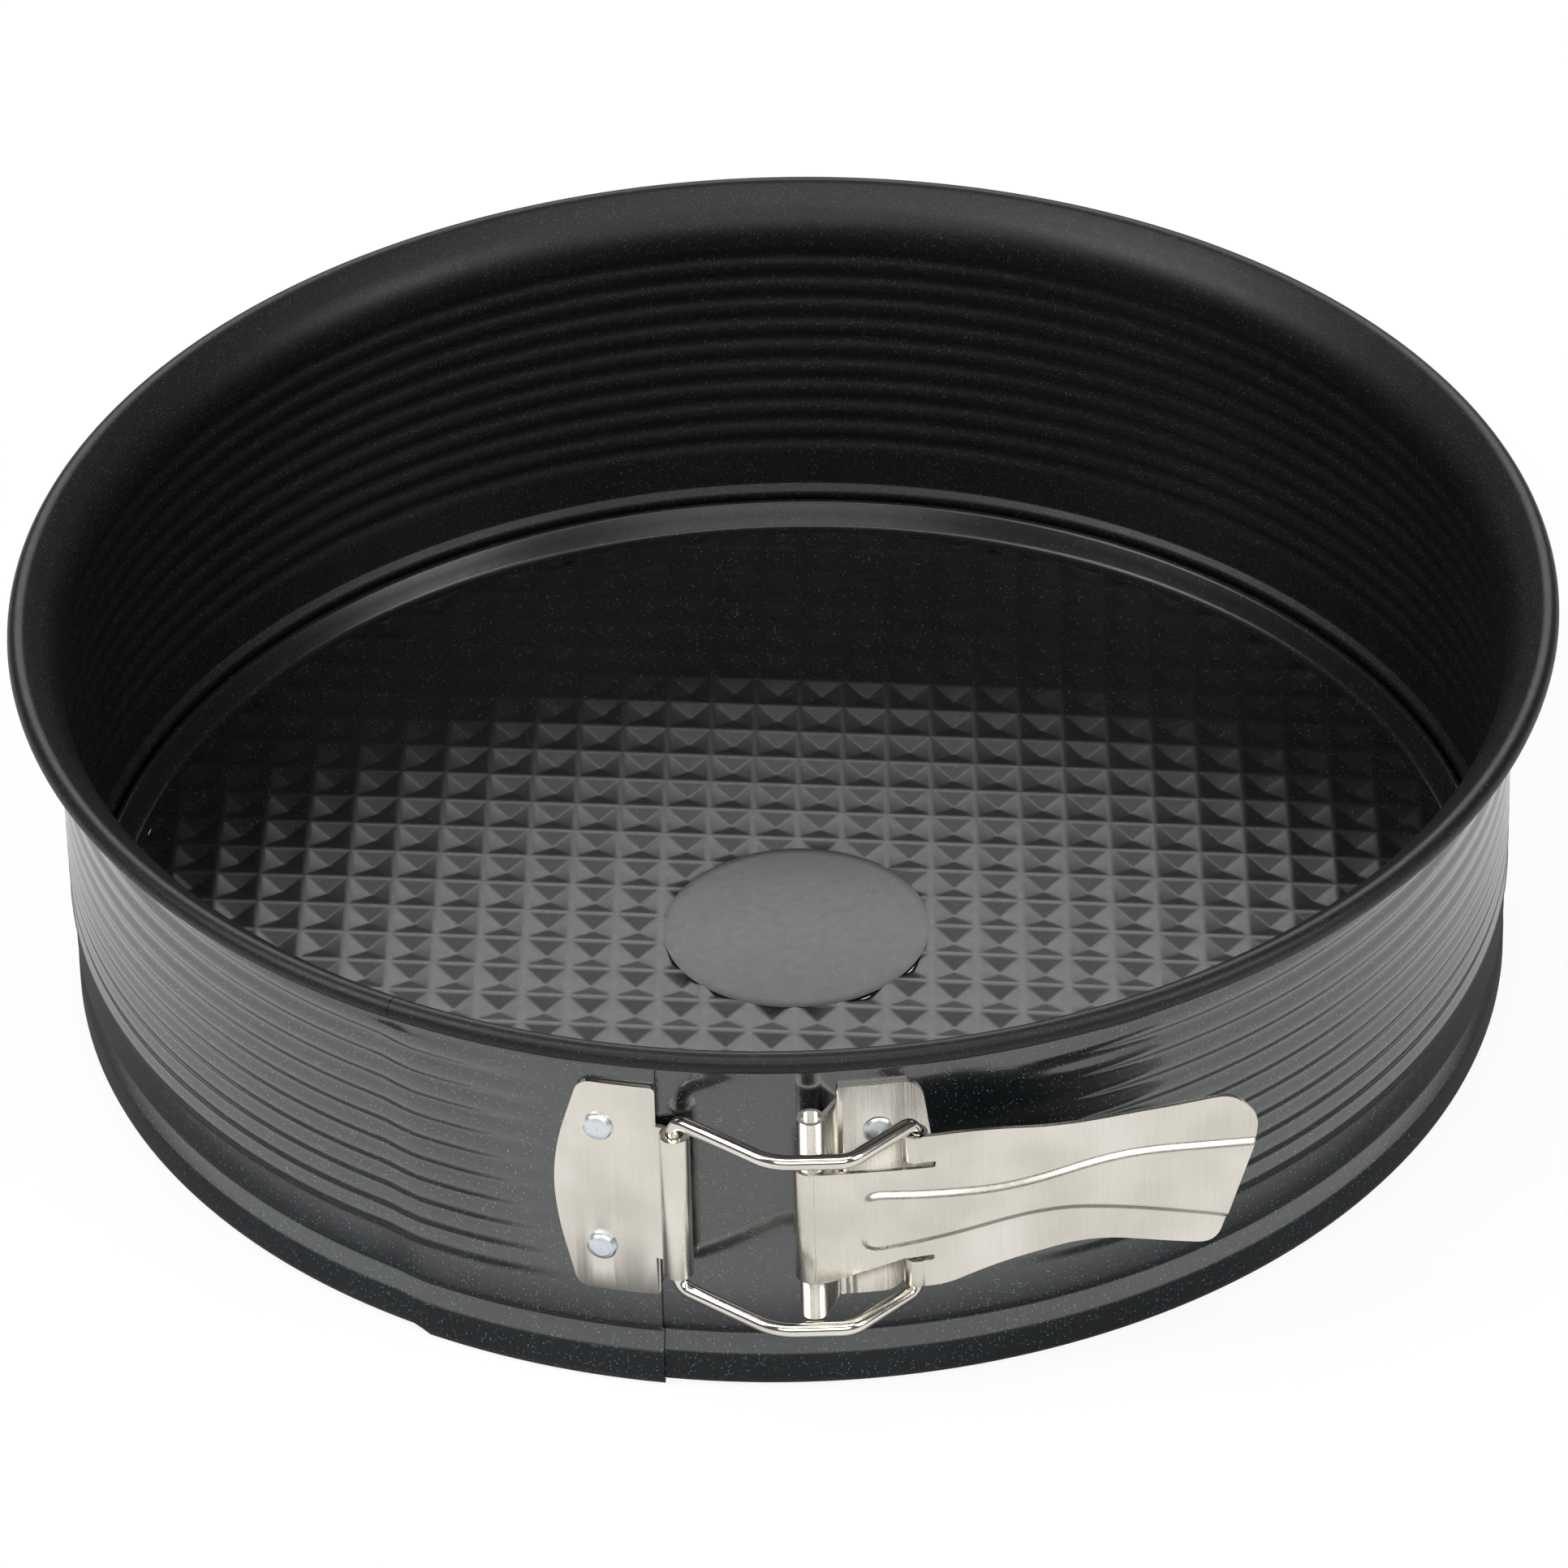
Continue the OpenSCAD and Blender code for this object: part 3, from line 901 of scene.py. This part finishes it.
@dataclass
class BasePlate:
    """The loose plate: embossed floor, plain round area and raised hemmed edge."""

    finishes: Finishes
    sheet: float = 0.6
    floor_z: float = 5.625
    outer_r: float = 112.9
    field_r: float = 108.0
    edge_bend: float = 1.5
    edge_hem: float = 0.5
    edge_slope: float = 62.0
    edge_rise: float = 3.85
    edge_lip: float = 1.2
    plain_r: float = 21.5
    plain_at: tuple[float, float] = (0.9, -4.5)
    pitch: tuple[float, float] = (7.30, 7.46)
    rows_lean: float = -5.9
    columns_lean: float = 1.5
    crossing: tuple[float, float] = (0.9, -2.6)
    ridge: float = 0.8
    depth: float = 1.0
    round_off: float = 0.35
    cells: int = 32

    def rim(self) -> bpy.types.Object:
        """The plain border with its raised edge."""
        bend, hem, slope, rise = self.edge_bend, self.edge_hem, self.edge_slope, self.edge_rise
        a = math.radians(slope)
        straight = (
            rise - bend * (1 - math.cos(a)) + hem * math.cos(a) - hem
        ) / math.sin(a)
        trial = Path((0, 0), 0).arc(bend, slope).run(straight).arc(hem, -90 - slope, 19)
        reach = max(x for x, _ in trial.points) + self.sheet / 2
        path = Path((self.outer_r - reach, self.floor_z), 0).arc(bend, slope, 8)
        path.run(straight, 2).arc(hem, -90 - slope, 12).run(self.edge_lip)
        points = [(self.field_r, self.floor_z)] + path.points
        piece = polyline("base_plate", [around(r, 0, z) for r, z in points])
        spin(piece, 360, 240)
        edit(piece)
        bpy.ops.mesh.normals_make_consistent(inside=False)
        leave()
        thicken(piece, self.sheet)
        return piece

    def embossing(self) -> bpy.types.Object:
        """The grid of shallow pyramids pressed into the floor, trimmed round."""
        deselect()
        bpy.ops.mesh.primitive_grid_add(
            x_subdivisions=self.cells, y_subdivisions=self.cells, size=self.cells,
            location=(0, 0, 0),
        )
        piece = bpy.context.object
        piece.name = "base_plate_field"
        a, b = math.radians(self.rows_lean), math.radians(self.columns_lean)
        u = Vector((math.cos(a), math.sin(a))) * self.pitch[0] * MM
        v = Vector((math.sin(b), math.cos(b))) * self.pitch[1] * MM
        lean = Matrix(
            (
                (u.x, v.x, 0, self.crossing[0] * MM),
                (u.y, v.y, 0, self.crossing[1] * MM),
                (0, 0, 1, (self.floor_z + self.sheet / 2) * MM),
                (0, 0, 0, 1),
            )
        )
        piece.data.transform(lean)
        delete_faces(piece, lambda c: math.hypot(c.x, c.y) > self.field_r + 6)
        edit(piece, "FACE")
        bpy.ops.mesh.inset(
            thickness=self.ridge / 2 * MM, use_individual=True, use_boundary=True
        )
        bpy.ops.mesh.poke(offset=-self.depth * MM)
        bpy.ops.mesh.select_all(action="SELECT")
        bpy.ops.mesh.remove_doubles(threshold=0.002 * MM)
        leave()
        soften(piece, self.round_off, 1, 4)
        thicken(piece, self.sheet, -1)
        self.trim(piece, (0, 0), self.field_r + 0.03, "INTERSECT")
        self.trim(piece, self.plain_at, self.plain_r - 0.03, "DIFFERENCE")
        return piece

    def trim(
        self, piece: bpy.types.Object, centre: tuple[float, float], radius: float, way: str
    ) -> None:
        """Cuts the field along a circle.

        Args:
            piece: the field.
            centre: the circle's centre in millimetres.
            radius: its radius in millimetres.
            way: the boolean's operation.
        """
        deselect()
        bpy.ops.mesh.primitive_cylinder_add(
            vertices=240, radius=radius * MM, depth=20 * MM,
            location=(centre[0] * MM, centre[1] * MM, self.floor_z * MM),
        )
        cutter = bpy.context.object
        modifier = piece.modifiers.new("trim", "BOOLEAN")
        modifier.operation = way
        modifier.object = cutter
        modifier.solver = "EXACT"
        finish_modifiers(piece)
        bpy.data.objects.remove(cutter, do_unlink=True)

    def plain(self) -> bpy.types.Object:
        """The plain round area, a little proud with a soft shoulder."""
        top = self.floor_z + self.sheet / 2
        rings = [(0.0, 0.12), (self.plain_r - 1.6, 0.12), (self.plain_r - 0.9, 0.05),
                 (self.plain_r - 0.3, 0.0), (self.plain_r, -0.05)]
        centre = Vector((self.plain_at[0], self.plain_at[1], 0)) * MM
        deselect()
        bpy.ops.mesh.primitive_circle_add(
            vertices=120, radius=self.plain_r * MM, fill_type="NGON",
            location=centre + Vector((0, 0, (top - self.sheet) * MM)),
        )
        piece = bpy.context.object
        piece.name = "base_plate_plain"
        activate(piece)
        bpy.ops.object.transform_apply(location=True, rotation=True, scale=True)
        edit(piece, "FACE")
        bpy.ops.mesh.extrude_region_move(
            TRANSFORM_OT_translate={"value": (0, 0, (self.sheet - 0.05) * MM)}
        )
        for (r0, z0), (r1, z1) in zip(rings[::-1], rings[::-1][1:]):
            if r1 == 0:
                break
            bpy.ops.mesh.inset(thickness=(r0 - r1) * MM)
            bpy.ops.transform.translate(value=(0, 0, (z1 - z0) * MM))
        leave()
        face_out(piece)
        return piece

    def build(self) -> None:
        """Builds the plate and dresses it."""
        piece = join([self.rim(), self.embossing(), self.plain()])
        smooth(piece, 14)
        dress(piece, Body.BASE, self.finishes.base)
        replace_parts(piece, "base_plate")


# ---------------------------------------------------------------- latch


@dataclass
class Latch:
    """Keeper plate, wire bail, lever and bracket, with their rivets."""

    finishes: Finishes
    ring_r: float = 114.9
    mid_z: float = 38.6
    keeper_x: float = 18.3
    keeper_stand: float = 3.9
    pivot_x: float = 2.2
    pivot_stand: float = 4.6
    ear_reach: float = 15.5
    wire_d: float = 2.4
    span: float = 31.8
    bow: float = 11.3
    bow_in: tuple[float, float] = (38.0, 9.0)
    bow_out: tuple[float, float] = (43.0, 5.0)
    corner: float = 2.4
    hook_bend: float = 2.0
    lever_sheet: float = 0.65
    ear_inner: float = 14.2
    hook: float = 5.2
    curl_bore: float = 2.2
    curl_span: tuple[float, float] = (-12.4, 8.3)
    ear_r: float = 1.95
    ear_upper: float = 9.4
    ear_lower: float = -9.3
    rib_raise: float = 0.75
    rib_edge: float = 0.8
    lever_half: float = 15.0
    lever_rows: int = 110
    lever_outline: tuple[tuple[float, float, float], ...] = (
        (2.2, 8.3, 0), (20.8, 8.3, 0.4), (20.8, 9.4, 0.4), (17.7, 9.4, 0), (17.7, 14.2, 0),
        (28, 14.2, 5), (41, 11.6, 8), (54, 12.4, 6), (66, 13.9, 3.6), (69.7, 9, 2),
        (69.2, 5, 0), (63.2, -14.2, 3), (55, -12.7, 5), (44, -10.2, 8), (30, -11.6, 6),
        (22, -14.2, 3), (17.7, -14.2, 0), (17.7, -9.3, 0), (20.4, -9.3, 0.4),
        (20.4, -8.3, 0.4), (15.8, -8.6, 0), (4.4, -12.2, 2), (2.2, -12.4, 0),
    )
    rib_outline: tuple[tuple[float, float, float], ...] = (
        (9.7, 4.2, 3), (34, 2.5, 7), (50, 5.2, 7), (80, 4.5, 0), (80, -15, 0),
        (64.7, -8.6, 3), (52, -5.6, 6), (36, -2.3, 8), (9.7, -6.4, 3),
    )

    def __post_init__(self) -> None:
        """Works out the three axes, seen from above."""
        self.keeper = self.on_ring(-self.keeper_x, self.keeper_stand)
        self.pivot = self.on_ring(self.pivot_x, self.pivot_stand)
        self.ear = Vector((self.pivot.x + self.ear_reach, self.pivot.y))

    def on_ring(self, x: float, stand: float) -> Vector:
        """The point at x on the circle that stands off the ring's outer face."""
        return Vector((x, -math.sqrt((self.ring_r + stand) ** 2 - x * x)))

    def bail(self) -> None:
        """The bent wire: through the keeper's barrel, round both arms, into the ears."""
        (slope_in, bend_in), (slope_out, bend_out) = self.bow_in, self.bow_out
        a, b = math.radians(slope_in), math.radians(slope_out)
        run_in = (self.bow - bend_in * (1 - math.cos(a))) / math.sin(a)
        rise = self.ear.y - (self.keeper.y - self.bow)
        run_out = (rise - bend_out * (1 - math.cos(b))) / math.sin(b)
        flat = (
            self.ear.x - self.keeper.x - run_in * math.cos(a) - bend_in * math.sin(a)
            - run_out * math.cos(b) - bend_out * math.sin(b)
        )
        corner, hook_bend = self.corner, self.hook_bend
        arm = Path((self.keeper.x, self.keeper.y), -slope_in).run(corner)
        arm.points = arm.points[1:]
        arm.run(run_in - corner, 3).arc(bend_in, slope_in, 5).run(flat, 2)
        arm.arc(bend_out, slope_out, 5).run(run_out - hook_bend, 3)
        half = self.span / 2
        upper: list[Vector] = []
        steps = 8
        for i in range(steps):
            t = math.radians(90 * i / steps)
            d = corner * (1 - math.cos(t))
            upper.append(
                Vector((self.keeper.x + d * math.cos(a), self.keeper.y - d * math.sin(a),
                        half - corner + corner * math.sin(t)))
            )
        upper += [Vector((x, y, half)) for x, y in arm.points]
        for i in range(1, steps + 1):
            t = math.radians(90 * i / steps)
            d = hook_bend * (1 - math.sin(t))
            upper.append(
                Vector((self.ear.x - d * math.cos(b), self.ear.y - d * math.sin(b),
                        half - hook_bend * (1 - math.cos(t))))
            )
        upper.append(Vector((self.ear.x, self.ear.y, half - self.hook)))
        lower = [Vector((p.x, p.y, -p.z)) for p in reversed(upper)]
        line = [
            (p + Vector((0, 0, self.mid_z))) * MM for p in lower + upper
        ]
        piece = self.wire_along("wire_bail_bent", line, self.wire_d / 2)
        smooth(piece, 60)
        dress(piece, Body.BAIL, self.finishes.wire)
        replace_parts(piece, "wire_bail")

    def wire_along(
        self, name: str, line: Sequence[Vector], radius: float
    ) -> bpy.types.Object:
        """A round wire along a line, by a bevelled curve turned into a mesh.

        Args:
            name: the piece's name.
            line: points in metres.
            radius: the wire's radius in millimetres.

        Returns:
            The wire's mesh.
        """
        piece = polyline(name, line)
        activate(piece)
        bpy.ops.object.convert(target="CURVE")
        piece = bpy.context.object
        piece.data.bevel_depth = radius * MM
        piece.data.bevel_resolution = 6
        piece.data.use_fill_caps = True
        bpy.ops.object.convert(target="MESH")
        piece = bpy.context.object
        piece.name = name
        edit(piece)
        bpy.ops.mesh.remove_doubles(threshold=0.001 * MM)
        bpy.ops.mesh.normals_make_consistent(inside=False)
        leave()
        return piece

    def pressed(self, name: str, node: str, body: Body, edge: float) -> None:
        """A pressed plate: the solid's own shape with its cut edges rounded.

        Args:
            name: the new piece's name.
            node: the solid that it stands for.
            body: the body that it rides on.
            edge: the rounding's width in millimetres.
        """
        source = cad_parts[node]
        piece = source.copy()
        piece.data = source.data.copy()
        piece.name = name
        for key in [k for k in piece.keys() if k.startswith("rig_")]:
            del piece[key]
        bpy.context.scene.collection.objects.link(piece)
        piece.parent = None
        piece.matrix_world = Matrix.Identity(4)
        edit(piece)
        bpy.ops.mesh.remove_doubles(threshold=0.004 * MM)
        leave()
        soften(piece, edge, 2, 50)
        smooth(piece, 25)
        dress(piece, body, self.finishes.sheet)
        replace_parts(piece, node)

    def tube(self, axis: Vector, radius: float, low: float, high: float) -> bpy.types.Object:
        """A length of rolled sheet tube about an upright axis.

        Args:
            axis: its place in plan.
            radius: its outer radius.
            low: its lower end, from the latch's middle line.
            high: its upper end, from the latch's middle line.

        Returns:
            The tube.
        """
        deselect()
        bpy.ops.mesh.primitive_cylinder_add(
            vertices=48, radius=radius * MM, depth=(high - low) * MM, end_fill_type="NOTHING",
            location=Vector((axis.x, axis.y, self.mid_z + (low + high) / 2)) * MM,
        )
        piece = bpy.context.object
        bpy.ops.object.transform_apply(location=True, rotation=True, scale=True)
        edit(piece, "FACE")
        bpy.ops.mesh.normals_make_consistent(inside=False)
        leave()
        thicken(piece, self.lever_sheet, -1)
        soften(piece, 0.1, 2, 50)
        return piece

    def lever(self) -> None:
        """The lever: bent sheet with its raised rib, curl round the pivot and two ears."""
        curl_r = self.curl_bore + self.lever_sheet
        start = (self.pivot.x, self.pivot.y - curl_r + self.lever_sheet / 2)
        path = Path(start, 4).run(12, 24).arc(90, 12, 0.35).run(6, 12)
        path.arc(100, -9, 0.3).run(18, 36)
        low, rows = self.mid_z - self.lever_half, self.lever_rows
        rise = Vector((0, 0, 2 * self.lever_half / rows * MM))
        piece = polyline("lever_pressed", [Vector((x, y, low)) * MM for x, y in path.points])
        edit(piece)
        for _ in range(rows):
            bpy.ops.mesh.extrude_region_move(
                TRANSFORM_OT_translate={"value": rise}
            )
        leave()
        if sum(f.normal.y for f in piece.data.polygons) > 0:
            edit(piece, "FACE")
            bpy.ops.mesh.flip_normals()
            leave()
        rib = rounded(self.rib_outline)
        push_out(
            piece,
            lambda p: smoothstep(
                -self.rib_edge, self.rib_edge, depth_inside(p.x, p.z - self.mid_z, rib)
            ),
            self.rib_raise,
        )
        thicken(piece, self.lever_sheet)
        edge = rounded(self.lever_outline)
        cutter = polyline(
            "cutter", [Vector((q.x, -60.0, q.y + self.mid_z)) * MM for q in edge], True
        )
        edit(cutter, "FACE")
        bpy.ops.mesh.extrude_region_move(TRANSFORM_OT_translate={"value": (0, -80 * MM, 0)})
        leave()
        face_out(cutter)
        modifier = piece.modifiers.new("outline", "BOOLEAN")
        modifier.operation = "INTERSECT"
        modifier.object = cutter
        modifier.solver = "EXACT"
        finish_modifiers(piece)
        bpy.data.objects.remove(cutter, do_unlink=True)
        soften(piece, 0.14, 2, 60)
        curl = self.tube(self.pivot, curl_r, *self.curl_span)
        upper = self.tube(self.ear, self.ear_r, self.ear_upper, self.ear_inner)
        lower = self.tube(self.ear, self.ear_r, -self.ear_inner, self.ear_lower)
        piece = join([piece, curl, upper, lower])
        smooth(piece, 40)
        dress(piece, Body.LEVER, self.finishes.sheet)
        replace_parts(piece, "lever")

    def carried_over(self) -> None:
        """Dresses the solids whose shape is right as it is."""
        for plate in ("keeper", "bracket"):
            for place in ("upper", "lower"):
                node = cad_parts[f"{plate}_rivet_{place}"]
                node.data.materials.clear()
                node.data.materials.append(self.finishes.rivet)
                LOG.info("%s: finished", node.name)

    def build(self) -> None:
        """Builds the latch."""
        self.bail()
        self.pressed("keeper_plate_pressed", "keeper_plate", Body.LEFT, 0.12)
        self.pressed("bracket_plate_pressed", "bracket_plate", Body.RIGHT, 0.12)
        self.lever()
        self.carried_over()


# ---------------------------------------------------------------- studio


@dataclass
class Studio:
    """Camera, lamps and floor."""

    focal_px: float = 12719.0
    frame_px: float = 1932.0
    elevation: float = 36.68
    distance: float = 1.6713
    roll: float = -0.0257
    tilt: tuple[float, float] = (-0.0151, -0.0007)
    # radii in millimetres over which the painted shadow round the pan, seen in reflections, fades
    # out
    painted_shadow_span: tuple[float, float] = (127.0, 141.0)
    mirrored: float = 0.92

    def camera(self) -> None:
        """Places the camera."""
        e = math.radians(self.elevation)
        data = bpy.data.cameras.new("camera")
        data.sensor_width = 36.0
        data.lens = self.focal_px / self.frame_px * 36.0
        data.clip_start, data.clip_end = 0.1, 20.0
        piece = bpy.data.objects.new("camera", data)
        bpy.context.scene.collection.objects.link(piece)
        look = Matrix(
            ((1, 0, 0), (0, math.sin(e), math.cos(e)), (0, -math.cos(e), math.sin(e)))
        )
        cr, sr = math.cos(self.roll), math.sin(self.roll)
        roll = Matrix(((cr, sr, 0), (-sr, cr, 0), (0, 0, 1)))
        ax, ay = self.tilt
        tilt_x = Matrix(
            ((1, 0, 0), (0, math.cos(ax), -math.sin(ax)), (0, math.sin(ax), math.cos(ax)))
        )
        tilt_y = Matrix(
            ((math.cos(ay), 0, math.sin(ay)), (0, 1, 0), (-math.sin(ay), 0, math.cos(ay)))
        )
        world = (tilt_x @ tilt_y @ roll @ look).transposed().to_4x4()
        world.translation = Vector(
            (0, -self.distance * math.cos(e), self.distance * math.sin(e))
        )
        piece.matrix_world = world
        bpy.context.scene.camera = piece

    def lamp(
        self, name: str, place: tuple[float, float, float], size: tuple[float, float], watts: float
    ) -> None:
        """Adds a soft rectangular lamp that faces the pan.

        Args:
            name: the lamp's name.
            place: its place in metres.
            size: its width and height in metres.
            watts: its power.
        """
        data = bpy.data.lights.new(name, "AREA")
        data.shape = "RECTANGLE"
        data.size, data.size_y = size
        data.energy = watts
        piece = bpy.data.objects.new(name, data)
        bpy.context.scene.collection.objects.link(piece)
        piece.location = place
        aim = Vector((0, 0, 0.03)) - Vector(place)
        piece.rotation_euler = aim.to_track_quat("-Z", "Y").to_euler()

    def floor(self) -> None:
        """A plain pale floor that shows white to the camera and keeps the shadow, with a painted
        shadow round the pan in reflections.
        """
        deselect()
        bpy.ops.mesh.primitive_plane_add(size=8, location=(0, 0, 0))
        piece = bpy.context.object
        piece.name = "studio_floor"
        shader = Shader("floor_pale")
        shader.feed(
            shader.surface,
            {"Base Color": linear("f2f2f2"), "Roughness": 0.9, "Specular IOR Level": 0.1},
        )
        rays = shader.add("ShaderNodeLightPath")
        seen = shader.add(
            "ShaderNodeMath",
            {0: rays.outputs["Is Glossy Ray"], 1: rays.outputs["Is Camera Ray"]},
            operation="ADD",
            use_clamp=True,
        )
        share = shader.add("ShaderNodeMath", {0: seen.outputs[0], 1: 0.9}, operation="MULTIPLY")
        # painted shadow: in glossy reflections the floor is painted dark close round the pan, in
        # place of the shade where it stands
        place = shader.add("ShaderNodeTexCoord").outputs["Object"]
        away = shader.add("ShaderNodeVectorMath", {0: place}, operation="LENGTH")
        near, clear = self.painted_shadow_span
        floor_painted_shadow = shader.add(
            "ShaderNodeMapRange",
            {"Value": away.outputs["Value"], "From Min": near * MM, "From Max": clear * MM,
             "To Min": 0.02, "To Max": self.mirrored},
        )
        strength = shader.add(
            "ShaderNodeMath",
            {0: rays.outputs["Is Camera Ray"], 1: floor_painted_shadow.outputs["Result"]},
            operation="MAXIMUM",
        )
        glow = shader.add(
            "ShaderNodeEmission", {"Color": (1, 1, 1, 1), "Strength": strength.outputs[0]}
        )
        mixed = shader.add(
            "ShaderNodeMixShader",
            {0: share.outputs[0], 1: shader.surface.outputs[0], 2: glow.outputs[0]},
        )
        shader.feed(shader.tree.nodes["Material Output"], {"Surface": mixed.outputs[0]})
        piece.data.materials.append(shader.material)

    def world(self) -> None:
        """A white room."""
        world = bpy.data.worlds.new("room")
        world.use_nodes = True
        back = world.node_tree.nodes["Background"]
        back.inputs["Color"].default_value = (1, 1, 1, 1)
        back.inputs["Strength"].default_value = 0.1
        bpy.context.scene.world = world

    def build(self) -> None:
        """Sets up the studio."""
        self.camera()
        self.world()
        self.floor()
        self.lamp("key_left", (-1.4, -0.5, 1.5), (1.0, 1.2), 26)
        self.lamp("fill_right", (1.6, -0.9, 1.2), (0.8, 1.1), 18)
        self.lamp("rim_back", (0.0, 1.9, 1.5), (2.0, 1.0), 29)
        self.lamp("front", (0.0, -1.75, 1.15), (1.8, 0.9), 15)
        self.lamp("top", (0.0, -0.6, 1.8), (1.6, 0.6), 13)
        bpy.context.scene.view_settings.view_transform = "Standard"


def main() -> None:
    """Builds the studio and every sub-assembly in order."""
    Studio().build()
    finishes = Finishes()
    SideRing(finishes).build()
    BasePlate(finishes).build()
    Latch(finishes).build()
    deselect()


if __name__ == "__main__":
    main()
